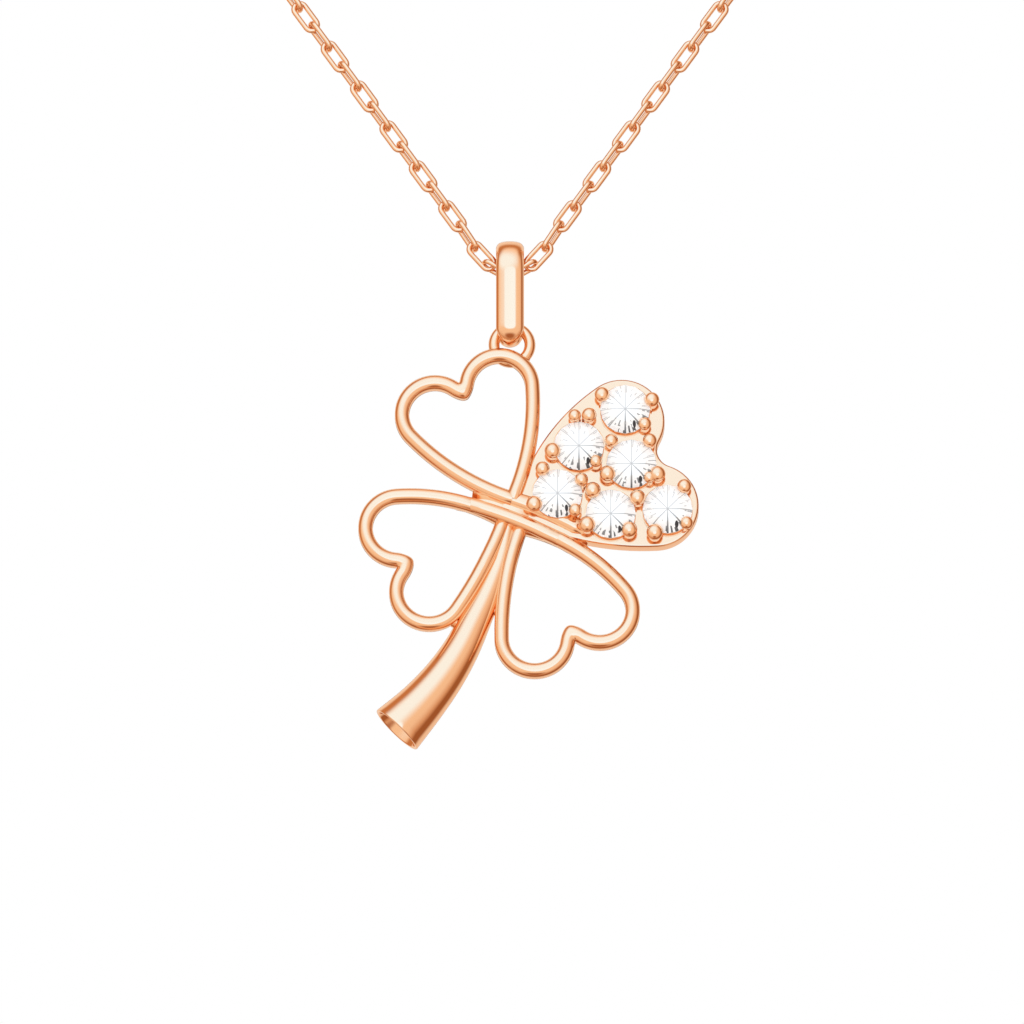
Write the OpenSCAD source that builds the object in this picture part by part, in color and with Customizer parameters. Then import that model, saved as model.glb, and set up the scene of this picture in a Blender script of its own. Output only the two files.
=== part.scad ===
// Four leaf clover pendant on a fine cable chain, in millimetres.
// Three leaves are open hearts of domed wire, the fourth is a heart plate set with six round stones,
// and a hollow, flaring stem hangs below them. A ring on the top leaf links the clover to its bail.
// X runs to the wearer's left, Y to the back of the neck and Z up.
// The origin is at the nape, on the side of the clasp that touches the neck.

/* [Chain] */
// Width of one link, which is how thick the whole chain is
chain_d = 0.66; // [0.5:0.02:0.7]

/* [Clasp] */
// Length of the barrel at the nape
clasp_len = 7; // [5:0.5:12]
// Diameter of the barrel
clasp_d = 2.4; // [1.8:0.1:3.2]
// Wire of the eye at each end of the barrel
eye_wire_d = 0.5; // [0.4:0.05:0.6]
// Outer diameter of each eye
eye_d = 1.6; // [1.4:0.1:2]

/* [Bail] */
// Width of the strap, side to side
bail_w = 1.12; // [0.9:0.02:1.2]
// Thickness of the strap, its dome included
bail_t = 0.46; // [0.4:0.02:0.5]
// How much the outer face of the strap is domed
bail_dome = 0.24; // [0.15:0.01:0.3]
// Inner radius of the top bend, which turns round the chain
bail_top_r = 0.79; // [0.72:0.01:0.9]
// Inner radius of the bottom bend
bail_low_r = 0.39; // [0.36:0.01:0.45]
// Height from the centre of the bottom bend to the centre of the top bend
bail_span = 2.23; // [2:0.05:3.5]
// Width of the strap at its narrow lowest point, which goes through the ring
bail_waist = 0.38; // [0.3:0.02:0.4]
// Radius of the hollow that narrows each side of the strap there
bail_scoop_r = 0.5; // [0.46:0.02:0.9]

/* [Ring] */
// Inner radius of the ring that links the clover to the bail
ring_hole_r = 0.5; // [0.5:0.01:0.6]
// Wire of the ring
ring_wire_d = 0.44; // [0.34:0.02:0.5]
// How far the ring lies to one side of the bail's middle
ring_x = 0.08; // [0:0.01:0.08]
// How far the middle of the ring hangs below the middle of the strap in it
ring_drop = 0.15; // [0.13:0.01:0.17]
// How deep the ring is sunk into the wire of the top leaf
ring_sink = 0.14; // [0.05:0.01:0.2]

/* [Wire leaves] */
// From the middle of the clover to the far end of a leaf
leaf_len = 6.4; // [5.6:0.1:7.2]
// Radius of the two lobes of each open heart, at the middle of its wire
lobe_r = 1.32; // [1.2:0.02:1.45]
// Radius of the bend between the lobes
notch_r = 0.34; // [0.3:0.01:0.5]
// Width of the wire
wire_w = 0.58; // [0.48:0.01:0.62]
// Depth of the wire, front to back, its dome included
wire_depth = 0.56; // [0.48:0.02:0.8]
// How much the front of the wire is domed
wire_dome = 0.2; // [0.1:0.01:0.26]
// How far the wire stands forward of the middle plane of the pendant
wire_front = 0.48; // [0.4:0.02:0.6]

/* [Stone plate] */
// Radius of the lobes of the solid heart
plate_lobe_r = 1.72; // [1.66:0.02:1.8]
// Radius of the hollow between its lobes
plate_notch_r = 0.7; // [0.4:0.05:1]
// Front of the plate, forward of the middle plane
plate_front = 0.2; // [0.1:0.02:0.28]
// Thickness of the plate
plate_t = 0.68; // [0.6:0.02:0.8]

/* [Stones] */
// Diameter of each round stone
stone_d = 2; // [1.8:0.05:2.05]
// Height of the girdle, forward of the middle plane
girdle_at = 0.5; // [0.4:0.02:0.56]
// Thickness of the girdle
girdle_t = 0.04; // [0.02:0.01:0.06]
// Height of the crown
crown_h = 0.3; // [0.22:0.02:0.36]
// Depth of the pavilion
pavilion_h = 0.78; // [0.7:0.02:0.84]
// Width of the table as a share of the diameter
table_share = 0.56; // [0.5:0.01:0.62]
// Gap between a stone and its metal
stone_gap = 0.02; // [0.01:0.005:0.03]

/* [Prongs] */
// Diameter of a full-size ball on a prong
ball_d = 0.52; // [0.44:0.02:0.56]
// Diameter of the post below it, as a share of the ball
post_share = 0.78; // [0.6:0.02:0.9]
// How far the middle of the ball is above the girdle
ball_rise = 0.14; // [0.1:0.02:0.2]

/* [Stem] */
// Height of the stem, from the middle of the clover
stem_len = 9.6; // [8:0.2:11]
// Diameter of the flared end
stem_end_d = 2.24; // [1.8:0.02:2.5]
// Wall of the hollow end at its rim
stem_wall = 0.14; // [0.1:0.01:0.2]
// Depth of the hollow
stem_hollow = 1.8; // [1:0.1:2.5]

/* [Hidden] */
// Sides of a ball, of a wire's own round and of a larger round
BALL_SIDES = 12;
WIRE_SIDES = 10;
ROUND_SIDES = 32;
ROSE_GOLD = [0.95, 0.70, 0.53];
STONE = [0.93, 0.95, 0.98];

// Gap between the clasp's eye and the end of the chain
CLASP_GAP = 0.1;
// Rounding of the barrel's ends, as a share of its radius
CLASP_ROUNDING = 0.5;
// Half of the chain's route, from the clasp round the wearer's left side to the bail
ROUTE = [
  [clasp_len / 2 + eye_d - eye_wire_d / 2 + CLASP_GAP, clasp_d / 2, 0],
  [11, 0.6, -0.4], [20, -2.6, -1.6], [32, -9, -4.6], [43, -19.5, -9.4], [51.5, -33, -16.5],
  [56, -48.5, -26.5], [55.5, -64, -39], [51, -77.5, -54], [43.5, -88, -70], [34.5, -95.2, -86],
  [25, -99.6, -100.6], [16, -101.7, -113.7], [8, -102.6, -124.9], [4, -102.6, -130.5],
  [2, -102.6, -133.3], [1.07, -102.6, -134.6], [0.55, -102.6, -135.08], [0, -102.6, -135.2]];
// Longest stretch of chain between two rings of its solid, and how many sides that solid has
CHAIN_STEP = 8;
CHAIN_SIDES = 8;
// A direction that the chain never follows, from which its sides are counted
CHAIN_ASIDE = [0, 0.6, -0.8];

// The bail turns on the chain at the route's lowest point
HANG = ROUTE[len(ROUTE) - 1];

// Leaves, anticlockwise from the top. Turn is in degrees, and the rest are shares of leaf_len in a
// frame with the leaf upright: its tip, its right and left lobe, and the radius of each side
TURN = 0;
TIP = 1;
RIGHT = 2;
LEFT = 3;
SIDES = 4;
TOP_LEAF = [26, [0.016, 0.068], [0.258, 0.751], [-0.181, 0.770], [1.60, 1.56]];
LEFT_LEAF = [115, [-0.025, 0.088], [0.200, 0.710], [-0.252, 0.708], [1.23, 2.57]];
LOW_LEAF = [204, [0.006, 0.107], [0.225, 0.808], [-0.220, 0.807], [2.03, 1.26]];
STONE_LEAF = [-68, [0.03, -0.03], [0.302, 0.827], [-0.281, 0.833], [1.75, 1.3]];

// Bars over the middle, as shares of leaf_len: the upper wire of the left leaf runs on into that of the
// low leaf, and the lower wire of the top leaf runs on along the edge of the plate
LONG_BAR = [[-0.36, 0.053], [-0.283, 0.034], [-0.209, 0.01], [-0.117, -0.021], [-0.016, -0.058],
  [0.094, -0.104], [0.203, -0.156], [0.282, -0.192], [0.359, -0.234]];
EDGE_BAR = [[-0.216, 0.152], [-0.117, 0.108], [-0.016, 0.067], [0.08, 0.02], [0.18, -0.035], [0.29, -0.1],
  [0.38, -0.155], [0.46, -0.2]];
// Width of the edge bar as a share of that of the wire, and how far each bar stands out of what it
// crosses
EDGE_BAR_SHARE = 0.8;
BAR_PROUD = 0.03;
// The solid middle that the tips are soldered to: its radius and its place, as shares of leaf_len
HUB_R = 0.09;
HUB = [0, -0.015];

// Middles of the stones, as shares of leaf_len in the upright frame of their leaf
STONES = [[-0.331, 0.877], [-0.22, 0.52], [0.01, 0.781], [0.014, 0.281], [0.26, 0.54], [0.365, 0.881]];

// Prongs: number of the stone that each holds, its direction from that stone in degrees, its distance
// as a share of the stone's radius and its ball as a share of ball_d
PRONGS = [
  [1, 216, 1.10, 1], [1, 87, 1.13, 1], [1, 29, 1, 0.9],
  [2, 166, 1.24, 0.86], [2, 140, 1.31, 1], [2, -100, 1.08, 1.08], [2, 24, 0.94, 0.86],
  [3, 199, 1.23, 0.92], [3, 120, 1.19, 0.96], [3, -88, 1.05, 1.08], [3, 45, 1.13, 1.08],
  [3, 29, 0.92, 0.8],
  [4, 189, 1.17, 0.96], [4, 98, 1.10, 0.92], [4, -86, 1.04, 1.1], [4, 23, 1, 0.88],
  [5, 195, 1.20, 1.08], [5, 99, 1.25, 1.08], [5, -86, 1.05, 1.12], [5, 26, 1, 1.08],
  [6, 122, 1.14, 0.96], [6, -50, 1.10, 1.12], [6, 30, 0.96, 0.88]];

// Stem: across and down as shares of stem_len, and the radius as a share of that of its end
STEM = [
  [-0.020, -0.025, 0.22], [-0.062, -0.215, 0.36], [-0.112, -0.352, 0.47], [-0.171, -0.481, 0.58],
  [-0.225, -0.593, 0.65], [-0.296, -0.708, 0.735], [-0.389, -0.826, 0.845], [-0.493, -0.9375, 1]];
STEM_SIDES = 24;
// Longest stretch of the stem between two of its rings, as a share of stem_len
STEM_STEP = 0.1;
// How far forward the middle of the stem lies
STEM_AT = -0.1;
// Narrow end of the stem's hollow as a share of its mouth, and how far past the mouth the cut runs, as
// a share of the hollow's depth
HOLLOW_SHARE = 0.5;
HOLLOW_PAST = 0.1;
// The hole behind each stone, and the ring where a stone's lower facets meet, as shares of its radius
BACK_HOLE_SHARE = 0.45;
LOW_SHARE = 0.25;

// Straight steps that stand for a round: degrees at the bends of a band, on a heart's long sides and in
// its notch, and the number across a dome
BEND_STEP = 12;
SIDE_STEP = 4;
NOTCH_STEP = 18;
DOME_STEPS = 6;
// Points of a band or tube lie on a grid this fine, so that its four-cornered faces fold along one
// diagonal and what crosses them leaves no triangle too thin to mesh
GRID = 0.005;

// Routes
function unit(v) = v / norm(v);
function direction(p, i) =
  let (last = len(p) - 1,
    a = norm(p[i] - p[max(i - 1, 0)]),
    b = norm(p[min(i + 1, last)] - p[i]))
  i == 0 ? (p[1] - p[0]) / b
  : i == last ? (p[last] - p[last - 1]) / a
  : ((p[i + 1] - p[i]) * a / b + (p[i] - p[i - 1]) * b / a) / (a + b);
function between(p, i, t) =
  let (l = norm(p[i + 1] - p[i]), m = direction(p, i) * l, n = direction(p, i + 1) * l)
  (2 * t^3 - 3 * t^2 + 1) * p[i] + (t^3 - 2 * t^2 + t) * m
  + (3 * t^2 - 2 * t^3) * p[i + 1] + (t^3 - t^2) * n;
function smooth(p, step) = [
  for (i = [0 : len(p) - 2])
    let (n = max(1, ceil(norm(p[i + 1] - p[i]) / step)))
    for (k = [0 : n - 1]) between(p, i, k / n),
  p[len(p) - 1]];
function reversed(p) = [for (k = [len(p) - 1 : -1 : 0]) p[k]];
function mirrored(p) = [for (q = p) [-q[0], q[1], q[2]]];
function but_last(p) = [for (k = [0 : len(p) - 2]) p[k]];

// Faces of a tube whose rings of points follow each other
function walls(rings, sides, closed) = [
  for (i = [0 : rings - (closed ? 1 : 2)], k = [0 : sides - 1])
    let (j = (i + 1) % rings, n = (k + 1) % sides)
    [i * sides + k, j * sides + k, j * sides + n, i * sides + n]];

function on_grid(v) = [for (x = v) round(x / GRID) * GRID];

// A round tube through the points p with the radii r, its sides counted from the direction aside
module tube(p, r, aside, sides) {
  last = len(p) - 1;
  points = [
    for (i = [0 : last])
      let (t = unit(direction(p, i)), u = unit(cross(t, aside)), v = cross(t, u))
      for (k = [0 : sides - 1])
        let (a = 360 * k / sides)
        on_grid(p[i] + r[i] * (cos(a) * u + sin(a) * v))];
  ends = [
    [for (k = [0 : sides - 1]) k],
    [for (k = [sides - 1 : -1 : 0]) last * sides + k]];
  polyhedron(points, concat(walls(last + 1, sides, false), ends));
}

// A band: a section of [outward, forward] points carried along the flat route p, which is a closed
// loop or has two ends
module band(p, section, closed = true) {
  last = len(p) - 1;
  sides = len(section);
  points = [
    for (i = [0 : last])
      let (start = closed || i < last ? i : last - 1, end = closed || i > 0 ? i : 1,
        a = unit(p[end] - p[(end + last) % (last + 1)]), b = unit(p[(start + 1) % (last + 1)] - p[start]),
        out = [a[1] + b[1], -a[0] - b[0]], reach = 2 * out / (out * out))
      for (s = section)
        on_grid([p[i][0] + s[0] * reach[0], p[i][1] + s[0] * reach[1], s[1]])];
  ends = [[for (k = [0 : sides - 1]) k], [for (k = [sides - 1 : -1 : 0]) last * sides + k]];
  polyhedron(points, concat(walls(last + 1, sides, closed), closed ? [] : ends));
}

// A flat strip across, domed on the side that the second value of each point leads to
function domed(width, depth, dome, top) =
  let (half = width / 2, r = (half * half + dome * dome) / (2 * dome), a = asin(half / r))
  [[-half, top - depth],
    for (k = [0 : DOME_STEPS]) let (t = a * (2 * k / DOME_STEPS - 1)) [r * sin(t), top - r + r * cos(t)],
    [half, top - depth]];

// Hearts, made of five arcs that are tangent to each other. An arc is its centre, radius, first
// direction and turn
function heading(v) = atan2(v[1], v[0]);
function turned(v, a) = [v[0] * cos(a) - v[1] * sin(a), v[0] * sin(a) + v[1] * cos(a)];
// The point at distance a from p and b from q, to the left (1) or right (-1) of the way from p to q
function meet(p, a, q, b, side) =
  let (d = norm(q - p), along = (a * a - b * b + d * d) / (2 * d), u = (q - p) / d)
  p + along * u + side * sqrt(max(0, a * a - along * along)) * [-u[1], u[0]];
function arc(centre, radius, from, to) = [centre, radius, from, (to - from + 720) % 360];
function heart_arcs(leaf, lobe, notch) =
  let (tip = leaf[TIP] * leaf_len, right = leaf[RIGHT] * leaf_len, left = leaf[LEFT] * leaf_len,
    ra = leaf[SIDES][0] * leaf_len, rb = leaf[SIDES][1] * leaf_len,
    a = meet(tip, ra, right, ra - lobe, 1),
    b = meet(tip, rb, left, rb - lobe, -1),
    n = meet(right, lobe + notch, left, lobe + notch, -1))
  [arc(a, ra, heading(tip - a), heading(right - a)),
    arc(right, lobe, heading(right - a), heading(n - right)),
    arc(n, notch, heading(left - n), heading(right - n)),
    arc(left, lobe, heading(n - left), heading(left - b)),
    arc(b, rb, heading(left - b), heading(tip - b))];
function along_arc(c, step) =
  let (n = ceil(c[3] / step))
  [for (k = [0 : n]) c[0] + c[1] * [cos(c[2] + c[3] * k / n), sin(c[2] + c[3] * k / n)]];
// The heart's outline from its tip round to its tip, anticlockwise
function heart(leaf, lobe, notch) =
  let (c = heart_arcs(leaf, lobe, notch))
  concat(but_last(along_arc(c[0], SIDE_STEP)), but_last(along_arc(c[1], BEND_STEP)),
    but_last(reversed(along_arc(c[2], NOTCH_STEP))), but_last(along_arc(c[3], BEND_STEP)),
    but_last(along_arc(c[4], SIDE_STEP)));

module wire_leaf(leaf) {
  rotate([0, 0, leaf[TURN]])
    band(heart(leaf, lobe_r, notch_r), domed(wire_w, wire_depth, wire_dome, wire_front));
}

module hub() {
  translate([HUB[0] * leaf_len, HUB[1] * leaf_len, plate_front - plate_t + BAR_PROUD])
    cylinder(r = HUB_R * leaf_len, h = plate_t, $fn = ROUND_SIDES);
}

module bars() {
  long = domed(wire_w + BAR_PROUD, wire_depth, wire_dome, wire_front + BAR_PROUD);
  edge_front = (wire_front + plate_front) / 2;
  edge = domed(wire_w * EDGE_BAR_SHARE, wire_depth - 2 * BAR_PROUD, wire_dome * EDGE_BAR_SHARE, edge_front);
  band(LONG_BAR * leaf_len, long, false);
  band(EDGE_BAR * leaf_len, edge, false);
}

// Where the middle of stone number i is, in the clover's frame
function stone_place(i) = turned(STONES[i] * leaf_len, STONE_LEAF[TURN]);

module at_stones() {
  for (i = [0 : len(STONES) - 1])
    translate([stone_place(i)[0], stone_place(i)[1], girdle_at]) children();
}

module plate() {
  back = plate_front - plate_t;
  rotate([0, 0, STONE_LEAF[TURN]])
    translate([0, 0, back])
      linear_extrude(plate_t) polygon(heart(STONE_LEAF, plate_lobe_r, plate_notch_r));
  at_stones() translate([0, 0, back - girdle_at])
    cylinder(r = stone_d / 2, h = girdle_at - girdle_t - back, $fn = ROUND_SIDES);
}

module prongs() {
  for (prong = PRONGS) {
    r = prong[3] * ball_d / 2;
    way = prong[1] + STONE_LEAF[TURN];
    reach = prong[2] * stone_d / 2;
    place = stone_place(prong[0] - 1) + reach * [cos(way), sin(way)];
    hull() {
      translate([place[0], place[1], girdle_at + ball_rise]) sphere(r, $fn = BALL_SIDES);
      translate([place[0], place[1], plate_front - plate_t / 2])
        cylinder(r = r * post_share, h = plate_t / 2, $fn = BALL_SIDES);
    }
  }
}

// The room that a stone takes, with its gap, and the hole that opens it to the back
module stone_room() {
  r = stone_d / 2 + stone_gap;
  half = girdle_t / 2 + stone_gap;
  table = r * table_share;
  rotate_extrude($fn = ROUND_SIDES)
    polygon([[0, -half - pavilion_h], [r, -half], [r, half], [table, half + crown_h],
      [table, half + crown_h + ball_d], [0, half + crown_h + ball_d]]);
  hole = r * BACK_HOLE_SHARE;
  translate([0, 0, plate_front - plate_t - girdle_at - stone_gap])
    cylinder(r = hole, h = plate_t / 2, $fn = ROUND_SIDES / 2);
}

function stem_points() = smooth([for (s = STEM) [s[0] * stem_len, s[1] * stem_len, s[2]]],
  stem_len * STEM_STEP);

module stem() {
  p = stem_points();
  tube([for (q = p) [q[0], q[1], STEM_AT]], [for (q = p) q[2] * stem_end_d / 2], [0, 0, 1], STEM_SIDES);
}

module stem_room() {
  p = stem_points();
  last = len(p) - 1;
  end = [p[last][0], p[last][1]];
  way = unit(end - [p[last - 1][0], p[last - 1][1]]);
  rim = stem_end_d / 2 - stem_wall;
  translate([end[0], end[1], STEM_AT])
    rotate([0, 90, heading(way)])
      translate([0, 0, -stem_hollow])
        cylinder(r1 = rim * HOLLOW_SHARE, r2 = rim * (1 + HOLLOW_PAST * (1 - HOLLOW_SHARE)),
          h = stem_hollow * (1 + HOLLOW_PAST), $fn = STEM_SIDES);
}

// The clover lies in its own frame, its middle at the origin and its front up. Its top leaf's right
// lobe carries the ring
RING_R = ring_hole_r + ring_wire_d / 2;
TOP_LOBE = turned(TOP_LEAF[RIGHT] * leaf_len, TOP_LEAF[TURN]);
// The clover's middle is as far to the side of the ring as its own weight hangs it
CLOVER_X = 0.2;
RING_ACROSS = ring_x - CLOVER_X;
RING_UP = TOP_LOBE[1] + sqrt(lobe_r * lobe_r - (RING_ACROSS - TOP_LOBE[0]) * (RING_ACROSS - TOP_LOBE[0]))
  + RING_R - ring_sink;

module ring() {
  translate([RING_ACROSS, RING_UP, 0])
    rotate_extrude($fn = ROUND_SIDES)
      translate([RING_R, 0]) circle(d = ring_wire_d, $fn = WIRE_SIDES);
}

// The strap's middle at its lowest point, below the chain
STRAP_DOWN = bail_span + bail_low_r + bail_t / 2;
CLOVER_AT = HANG + [CLOVER_X, 0, -STRAP_DOWN - ring_drop - RING_UP];

// Stands a thing that lies with its front up
module stood() {
  translate(CLOVER_AT) rotate([90, 0, 0]) children();
}

module clover() {
  color(ROSE_GOLD) stood() difference() {
    union() {
      for (leaf = [TOP_LEAF, LEFT_LEAF, LOW_LEAF]) wire_leaf(leaf);
      hub();
      bars();
      plate();
      prongs();
      stem();
      ring();
    }
    at_stones() stone_room();
    stem_room();
  }
}

// A round brilliant with its girdle at height 0: table, 8 stars, 8 bezels, 32 halves and 8 mains
module brilliant() {
  r = stone_d / 2;
  half = girdle_t / 2;
  star_r = r * (1 + table_share) / 2;
  star_z = half + crown_h * (1 - star_r / r * cos(22.5)) / (1 - table_share);
  low_r = r * LOW_SHARE;
  low_z = -half - pavilion_h * (1 - low_r / r * cos(22.5));
  points = [
    for (k = [0 : 7]) [r * table_share * cos(45 * k), r * table_share * sin(45 * k), half + crown_h],
    for (k = [0 : 7]) [star_r * cos(45 * k + 22.5), star_r * sin(45 * k + 22.5), star_z],
    for (k = [0 : 15]) [r * cos(22.5 * k), r * sin(22.5 * k), half],
    for (k = [0 : 15]) [r * cos(22.5 * k), r * sin(22.5 * k), -half],
    for (k = [0 : 7]) [low_r * cos(45 * k + 22.5), low_r * sin(45 * k + 22.5), low_z],
    [0, 0, -half - pavilion_h]];
  star = 8;
  girdle = 16;
  under = 32;
  low = 48;
  culet = 56;
  faces = [
    [for (k = [7 : -1 : 0]) k],
    for (k = [0 : 7])
      let (n = (k + 1) % 8, b = (k + 7) % 8, g = 2 * k, h = 2 * k + 1, i = (2 * k + 2) % 16)
      each [
        [k, n, star + k],
        [k, star + k, girdle + g, star + b],
        [star + k, girdle + h, girdle + g],
        [star + k, girdle + i, girdle + h],
        [girdle + g, girdle + h, under + h, under + g],
        [girdle + h, girdle + i, under + i, under + h],
        [low + k, under + g, under + h],
        [low + k, under + h, under + i],
        [low + b, under + g, low + k, culet]]];
  polyhedron(points, faces);
}

module stone(i) {
  color(STONE) stood()
    translate([stone_place(i)[0], stone_place(i)[1], girdle_at]) brilliant();
}

// The bail's inner outline, in a frame with the back of the neck to the right and the chain at 0, 0
function bail_loop() =
  let (lean = asin((bail_top_r - bail_low_r) / bail_span),
    top = arc([0, 0], bail_top_r, -lean, 180 + lean),
    low = arc([0, -bail_span], bail_low_r, 180 + lean, 360 - lean))
  concat(along_arc(top, BEND_STEP), along_arc(low, BEND_STEP));

module bail() {
  strap = [for (s = domed(bail_w, bail_t, bail_dome, bail_t)) [s[1], -s[0]]];
  color(ROSE_GOLD) translate(HANG) difference() {
    rotate([90, 0, 90]) band(bail_loop(), strap);
    for (side = [-1, 1])
      translate([side * (bail_waist / 2 + bail_scoop_r), 0, -STRAP_DOWN])
        sphere(bail_scoop_r, $fn = ROUND_SIDES);
  }
}

module chain() {
  half = smooth(ROUTE, CHAIN_STEP);
  route = concat(half, reversed(but_last(mirrored(half))));
  color(ROSE_GOLD) tube(route, [for (q = route) chain_d / 2], CHAIN_ASIDE, CHAIN_SIDES);
}

module clasp() {
  r = clasp_d / 2;
  rounding = r * CLASP_ROUNDING;
  eye_r = (eye_d - eye_wire_d) / 2;
  color(ROSE_GOLD) translate([0, r, 0]) {
    rotate([0, 90, 0])
      rotate_extrude($fn = ROUND_SIDES) {
        translate([0, -clasp_len / 2 + rounding]) square([r, clasp_len - 2 * rounding]);
        translate([0, -clasp_len / 2]) square([r - rounding, clasp_len]);
        for (side = [-1, 1])
          intersection() {
            translate([r - rounding, side * (clasp_len / 2 - rounding)]) circle(rounding, $fn = ROUND_SIDES);
            translate([0, -clasp_len / 2]) square([r, clasp_len]);
          }
      }
    for (side = [-1, 1])
      translate([side * (clasp_len / 2 + eye_r), 0, 0])
        rotate_extrude($fn = ROUND_SIDES)
          translate([eye_r, 0]) circle(d = eye_wire_d, $fn = ROUND_SIDES);
  }
}

chain();
clasp();
bail();
clover();
for (i = [0 : len(STONES) - 1])
  stone(i);
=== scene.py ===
# %% [markdown]
# Four leaf clover pendant
#
# The object is a rose gold pendant on a fine cable chain. Three of its leaves are open hearts of domed
# wire, the fourth is a heart plate set with six round stones, and a hollow stem flares out below them.
# The construction model already fixes every size, so this lesson dresses it: each piece is modelled
# again with true curves, in the same place, and gets the finish that the real one has.

from math import asin, atan2, ceil, cos, degrees, hypot, pi, radians, sin, sqrt

import bmesh
import bpy
from mathutils import Matrix, Vector


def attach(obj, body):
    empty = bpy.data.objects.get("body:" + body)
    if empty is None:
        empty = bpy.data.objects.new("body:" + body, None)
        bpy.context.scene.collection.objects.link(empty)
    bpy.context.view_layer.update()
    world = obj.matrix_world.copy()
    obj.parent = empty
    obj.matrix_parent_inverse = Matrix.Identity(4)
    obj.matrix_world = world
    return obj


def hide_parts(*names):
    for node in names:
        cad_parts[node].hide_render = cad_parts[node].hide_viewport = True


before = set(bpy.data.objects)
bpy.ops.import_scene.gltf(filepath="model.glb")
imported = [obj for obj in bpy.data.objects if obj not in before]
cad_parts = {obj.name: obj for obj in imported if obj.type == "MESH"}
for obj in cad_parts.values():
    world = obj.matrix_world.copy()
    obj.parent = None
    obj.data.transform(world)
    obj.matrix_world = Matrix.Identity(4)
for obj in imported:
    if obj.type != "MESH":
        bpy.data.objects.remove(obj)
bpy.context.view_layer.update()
print("nodes", sorted(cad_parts))

# %% [markdown]
# All lengths below are metres. A jewel is easier to think of in millimetres, so one named value turns
# them. The sizes are those of the construction model. Places on the clover are shares of a leaf's
# length in a flat frame, with x to the right, y up and z towards the viewer, as the piece lies on a bench.

# %% Sizes
MM = 0.001
LEAF_LEN = 6.4 * MM
LOBE_R = 1.32 * MM
NOTCH_R = 0.34 * MM
WIRE_W = 0.58 * MM
WIRE_DEPTH = 0.56 * MM
WIRE_DOME = 0.2 * MM
WIRE_FRONT = 0.48 * MM
PLATE_LOBE_R = 1.72 * MM
PLATE_NOTCH_R = 0.7 * MM
PLATE_FRONT = 0.2 * MM
PLATE_T = 0.68 * MM
STONE_R = 1 * MM
GIRDLE_AT = 0.5 * MM
GIRDLE_T = 0.04 * MM
PAVILION_H = 0.78 * MM
BALL_D = 0.52 * MM
BALL_RISE = 0.14 * MM
POST_SHARE = 0.78
RING_HOLE_R = 0.5 * MM
RING_WIRE_D = 0.44 * MM
RING_R = RING_HOLE_R + RING_WIRE_D / 2
RING_X = 0.08 * MM
RING_DROP = 0.15 * MM
RING_SINK = 0.14 * MM
STEM_LEN = 9.6 * MM
STEM_END_R = 1.12 * MM
STEM_WALL = 0.14 * MM
STEM_HOLLOW = 1.8 * MM
STEM_AT = -0.1 * MM
BAIL_W = 1.12 * MM
BAIL_T = 0.46 * MM
BAIL_DOME = 0.24 * MM
BAIL_TOP_R = 0.79 * MM
BAIL_LOW_R = 0.39 * MM
BAIL_SPAN = 2.23 * MM

# %% Tables
TOP_LEAF = (26, (0.016, 0.068), (0.258, 0.751), (-0.181, 0.770), (1.60, 1.56))
LEFT_LEAF = (115, (-0.025, 0.088), (0.200, 0.710), (-0.252, 0.708), (1.23, 2.57))
LOW_LEAF = (204, (0.006, 0.107), (0.225, 0.808), (-0.220, 0.807), (2.03, 1.26))
STONE_LEAF = (-68, (0.03, -0.03), (0.302, 0.827), (-0.281, 0.833), (1.75, 1.3))
LONG_BAR = [(-0.36, 0.053), (-0.283, 0.034), (-0.209, 0.01), (-0.117, -0.021), (-0.016, -0.058),
            (0.094, -0.104), (0.203, -0.156), (0.282, -0.192), (0.359, -0.234)]
STONES = [(-0.331, 0.877), (-0.22, 0.52), (0.01, 0.781), (0.014, 0.281), (0.26, 0.54), (0.365, 0.881)]
# Number of the stone, direction from it in degrees, distance as a share of its radius, size of the ball
PRONGS = [
    (1, 216, 1.10, 1), (1, 87, 1.13, 1), (1, 29, 1, 0.9),
    (2, 166, 1.24, 0.86), (2, 140, 1.31, 1), (2, -100, 1.08, 1.08), (2, 24, 0.94, 0.86),
    (3, 199, 1.23, 0.92), (3, 120, 1.19, 0.96), (3, -88, 1.05, 1.08), (3, 45, 1.13, 1.08),
    (3, 29, 0.92, 0.8),
    (4, 189, 1.17, 0.96), (4, 98, 1.10, 0.92), (4, -86, 1.04, 1.1), (4, 23, 1, 0.88),
    (5, 195, 1.20, 1.08), (5, 99, 1.25, 1.08), (5, -86, 1.05, 1.12), (5, 26, 1, 1.08),
    (6, 122, 1.14, 0.96), (6, -50, 1.10, 1.12), (6, 30, 0.96, 0.88)]
# Across and down as shares of the stem's length, and the radius as a share of that of its end
STEM = [(-0.020, -0.025, 0.22), (-0.062, -0.215, 0.36), (-0.112, -0.352, 0.47), (-0.171, -0.481, 0.58),
        (-0.225, -0.593, 0.65), (-0.296, -0.708, 0.735), (-0.389, -0.826, 0.845), (-0.493, -0.9375, 1)]

# %% [markdown]
# Half of the chain's route is a list of chosen points, from the clasp at the nape round to the bail at
# the throat. A smooth curve through them gives the place and the direction of every link.

# %% Route
CLASP_EYE_X = 4.05
ROUTE = [(CLASP_EYE_X, 1.2, 0), (11, 0.6, -0.4), (20, -2.6, -1.6), (32, -9, -4.6), (43, -19.5, -9.4),
         (51.5, -33, -16.5), (56, -48.5, -26.5), (55.5, -64, -39), (51, -77.5, -54), (43.5, -88, -70),
         (34.5, -95.2, -86), (25, -99.6, -100.6), (16, -101.7, -113.7), (8, -102.6, -124.9),
         (4, -102.6, -130.5), (2, -102.6, -133.3), (1.07, -102.6, -134.6), (0.55, -102.6, -135.08),
         (0, -102.6, -135.2)]
HANG = Vector(ROUTE[-1]) * MM


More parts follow.
